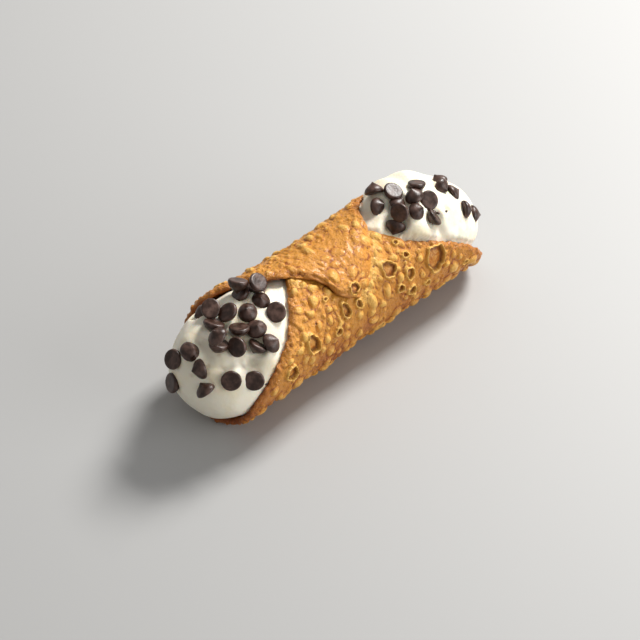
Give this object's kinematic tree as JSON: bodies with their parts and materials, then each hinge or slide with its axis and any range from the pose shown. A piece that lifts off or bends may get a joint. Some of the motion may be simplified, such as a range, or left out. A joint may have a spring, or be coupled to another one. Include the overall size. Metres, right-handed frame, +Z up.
{
  "type": "cannoli",
  "caption": "Blistered fried pastry tube rolled from a round of dough, filled with whipped cheese cream that swells from both slanted ends under small chocolate drops.",
  "frame": {"origin": "middle of the bounding box's bottom face, on the surface that the tube rests on", "axes": "+X along the tube towards the end whose cream stands highest, -Y towards the side where the dough's free edge shows, +Z up"},
  "size_m": [0.131, 0.0405, 0.0435],
  "materials": {
    "crust": "satin",
    "cream": "satin",
    "chocolate": "satin"
  },
  "bodies": {
    "root": {"shell": "crust", "filling": "cream", "chocolate_drop_01": "chocolate", "chocolate_drop_02": "chocolate", "chocolate_drop_03": "chocolate", "chocolate_drop_04": "chocolate", "chocolate_drop_05": "chocolate", "chocolate_drop_06": "chocolate", "chocolate_drop_07": "chocolate", "chocolate_drop_08": "chocolate", "chocolate_drop_09": "chocolate", "chocolate_drop_10": "chocolate", "chocolate_drop_11": "chocolate", "chocolate_drop_12": "chocolate", "chocolate_drop_13": "chocolate", "chocolate_drop_14": "chocolate", "chocolate_drop_15": "chocolate", "chocolate_drop_16": "chocolate", "chocolate_drop_17": "chocolate", "chocolate_drop_18": "chocolate", "chocolate_drop_19": "chocolate", "chocolate_drop_20": "chocolate", "chocolate_drop_21": "chocolate", "chocolate_drop_22": "chocolate", "chocolate_drop_23": "chocolate", "chocolate_drop_24": "chocolate", "chocolate_drop_25": "chocolate", "chocolate_drop_26": "chocolate", "chocolate_drop_27": "chocolate", "chocolate_drop_28": "chocolate", "chocolate_drop_29": "chocolate", "chocolate_drop_30": "chocolate", "chocolate_drop_31": "chocolate", "chocolate_drop_32": "chocolate", "chocolate_drop_33": "chocolate", "chocolate_drop_34": "chocolate", "chocolate_drop_35": "chocolate", "chocolate_drop_36": "chocolate", "chocolate_drop_37": "chocolate", "chocolate_drop_38": "chocolate", "chocolate_drop_39": "chocolate", "chocolate_drop_40": "chocolate", "chocolate_drop_41": "chocolate", "chocolate_drop_42": "chocolate", "chocolate_drop_43": "chocolate", "chocolate_drop_44": "chocolate"}
  },
  "joints": []
}
